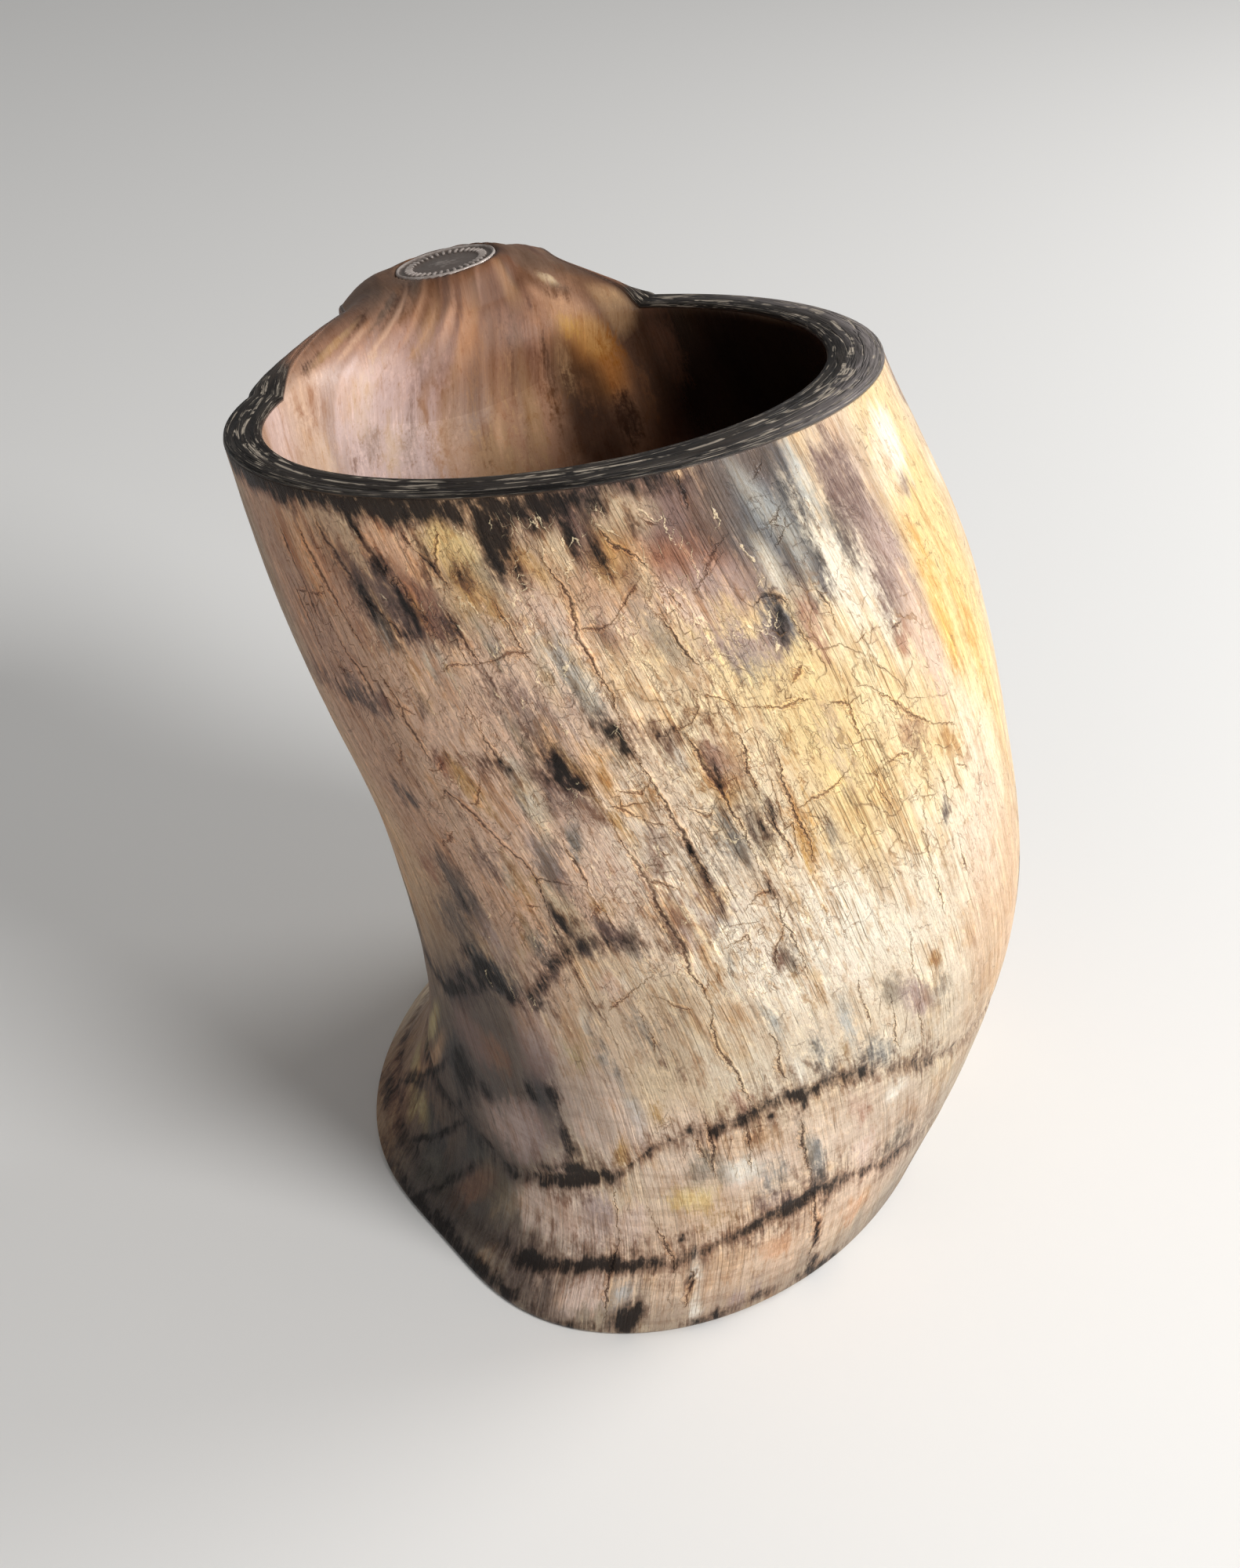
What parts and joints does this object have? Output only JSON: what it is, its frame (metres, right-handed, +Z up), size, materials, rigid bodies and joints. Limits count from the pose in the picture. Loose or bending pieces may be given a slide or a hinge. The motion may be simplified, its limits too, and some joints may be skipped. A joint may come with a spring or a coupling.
{
  "type": "horn drinking cup",
  "caption": "Leaning oval drinking cup made of a curved cattle horn, with a bent strip handle, an inlaid crest disc and a base disc set into the wide foot.",
  "frame": {"origin": "on the table under the middle of the root end's oval at the foot", "axes": "+Z up, +Y towards the handle, +X to the cup's right when the handle is at the back"},
  "size_m": [0.1323, 0.126, 0.1588],
  "materials": {
    "horn": "natural horn, cream to brown with grey and black patches, waxed outside and polished inside",
    "base_wood": "dark oiled wood",
    "wax": "beeswax, dull",
    "pin_brass": "filed flush, tarnished",
    "pewter": "aged pewter with a ring of plain radial ticks"
  },
  "bodies": {
    "root": {"horn_body": "horn", "handle": "horn", "base_disc": "base_wood", "seal_bead": "wax", "handle_pins": "pin_brass", "medallion": "pewter"}
  },
  "joints": []
}
